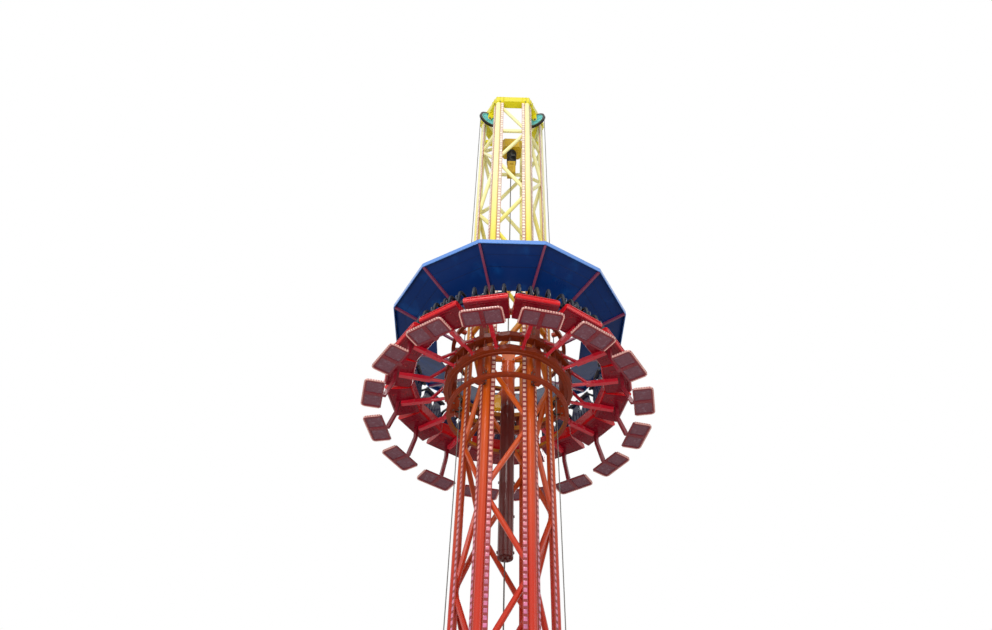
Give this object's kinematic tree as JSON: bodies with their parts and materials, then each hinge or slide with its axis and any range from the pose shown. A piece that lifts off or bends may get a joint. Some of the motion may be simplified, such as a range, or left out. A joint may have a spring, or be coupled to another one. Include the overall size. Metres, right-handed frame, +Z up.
{
  "type": "drop tower ride",
  "caption": "Tall six-sided lattice tower with a ring gondola of seat pairs under a funnel canopy, lifted by ropes over head sheaves against a counterweight.",
  "frame": {"origin": "centre of the underside of the base plate, on the tower's centre line at ground level", "axes": "+Z up along the tower; -Y towards the side that the picture was taken from; +X to its right"},
  "size_m": [6.3338, 6.3338, 25.93],
  "materials": {
    "tower_paint": "gloss paint, orange red low down to yellow at the top",
    "base_paint": "gloss paint",
    "head_paint": "gloss paint",
    "sheave_paint": "painted disc with a dark rim",
    "wire_rope": "greased wire rope",
    "machine_paint": "gloss paint",
    "motor_paint": "satin paint",
    "box_paint": "gloss paint",
    "weight_paint": "worn gloss paint",
    "carriage_paint": "gloss paint",
    "wheel_tyre": "solid tyre on a steel centre",
    "arm_paint": "gloss paint",
    "shell_red": "moulded shell, gloss",
    "back_shell": "moulded shell, gloss",
    "seat_pad": "padded vinyl",
    "restraint_pad": "soft foam cover",
    "strut_paint": "gloss paint",
    "tread_metal": "chequered plate",
    "light_strip": "clear light channel",
    "canopy_blue": "gloss paint",
    "rib_paint": "gloss paint",
    "fascia_blue": "gloss paint"
  },
  "bodies": {
    "tower": {"base_frame": "base_paint", "column_1": "tower_paint", "column_2": "tower_paint", "column_3": "tower_paint", "column_4": "tower_paint", "column_5": "tower_paint", "column_6": "tower_paint", "lattice_1": "tower_paint", "lattice_2": "tower_paint", "lattice_3": "tower_paint", "lattice_4": "tower_paint", "lattice_5": "tower_paint", "lattice_6": "tower_paint", "head_frame": "head_paint", "sheave_brackets": "head_paint", "tail_sheaves": "sheave_paint", "hoist_ropes": "wire_rope", "winch_beam": "head_paint", "winch_housing": "machine_paint", "winch_motor": "motor_paint", "brake_housing": "machine_paint", "junction_box": "box_paint"},
    "gondola": {"carriage_posts": "carriage_paint", "carriage_rings": "carriage_paint", "guide_wheels": "wheel_tyre", "rope_clamps": "carriage_paint", "seat_arms": "arm_paint", "seat_shells": "shell_red", "seat_backs": "back_shell", "seat_cushions": "seat_pad", "restraints": "restraint_pad", "footrest_struts": "strut_paint", "footrest_frames": "strut_paint", "tread_plates": "tread_metal", "light_rims": "light_strip", "canopy_panels": "canopy_blue", "canopy_ribs": "rib_paint", "canopy_fascia": "fascia_blue"},
    "counterweight": {"counterweight": "weight_paint", "weight_yoke": "machine_paint"},
    "sheave_1": {"head_sheave_1": "sheave_paint"},
    "sheave_2": {"head_sheave_2": "sheave_paint"},
    "sheave_3": {"head_sheave_3": "sheave_paint"}
  },
  "joints": [
    {"name": "gondola_lift", "type": "slide", "parent": "tower", "child": "gondola", "axis": [0, 0, 1], "range_m": [-12.85, 9]},
    {"name": "weight_travel", "type": "slide", "parent": "tower", "child": "counterweight", "axis": [0, 0, -1], "range_m": [-6.6, 4.7]},
    {"name": "sheave_spin_1", "type": "hinge", "parent": "tower", "child": "sheave_1", "pos_m": [-0.75344, -0.435, 25.3], "axis": [-0.5, 0.866, 0], "continuous": true},
    {"name": "sheave_spin_2", "type": "hinge", "parent": "tower", "child": "sheave_2", "pos_m": [0.75344, -0.435, 25.3], "axis": [-0.5, -0.866, 0], "continuous": true},
    {"name": "sheave_spin_3", "type": "hinge", "parent": "tower", "child": "sheave_3", "pos_m": [0, 0.87, 25.3], "axis": [1, 0, 0], "continuous": true}
  ],
  "couplings": [
    {"joint": "weight_travel", "follows": "gondola_lift", "ratio": 0.5},
    {"joint": "sheave_spin_1", "follows": "gondola_lift", "rad_per_m": 3.3333},
    {"joint": "sheave_spin_2", "follows": "gondola_lift", "rad_per_m": 3.3333},
    {"joint": "sheave_spin_3", "follows": "gondola_lift", "rad_per_m": 3.3333}
  ]
}
